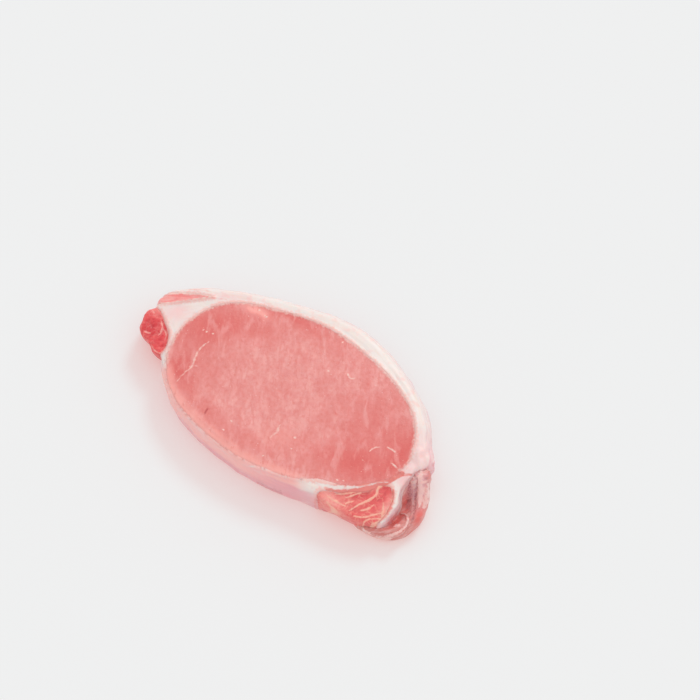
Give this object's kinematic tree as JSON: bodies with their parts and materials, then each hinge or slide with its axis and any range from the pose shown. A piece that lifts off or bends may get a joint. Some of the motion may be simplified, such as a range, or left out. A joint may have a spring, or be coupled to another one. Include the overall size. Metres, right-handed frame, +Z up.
{
  "type": "raw sirloin medallion",
  "caption": "Raw boneless pork loin steak lying flat: pale pink eye muscle, white fat cap along one side, small dark muscle at one end and a folded tail at the other.",
  "frame": {"origin": "middle of the footprint, on the lower cut face that the steak lies on", "axes": "+X along the steak from the small dark muscle to the folded tail, +Y towards the fat cap, +Z up out of the shown cut face"},
  "size_m": [0.1458, 0.0794, 0.0169],
  "materials": {
    "lean": "moist pale pink lean meat, fine grained",
    "fat": "smooth white back fat and thin membrane",
    "deep_lean": "moist dark red lean meat",
    "cap_lean": "moist pink lean meat, streaked with fat",
    "tail_lean": "moist pink lean meat, marbled with fat",
    "membrane": "wet folded flap of lean under a greyish pink membrane"
  },
  "bodies": {
    "root": {"loin_eye": "lean", "fat_cap": "fat", "end_muscle": "deep_lean", "cap_muscle": "cap_lean", "tail_muscle": "tail_lean", "tail_flap": "membrane"}
  },
  "joints": []
}
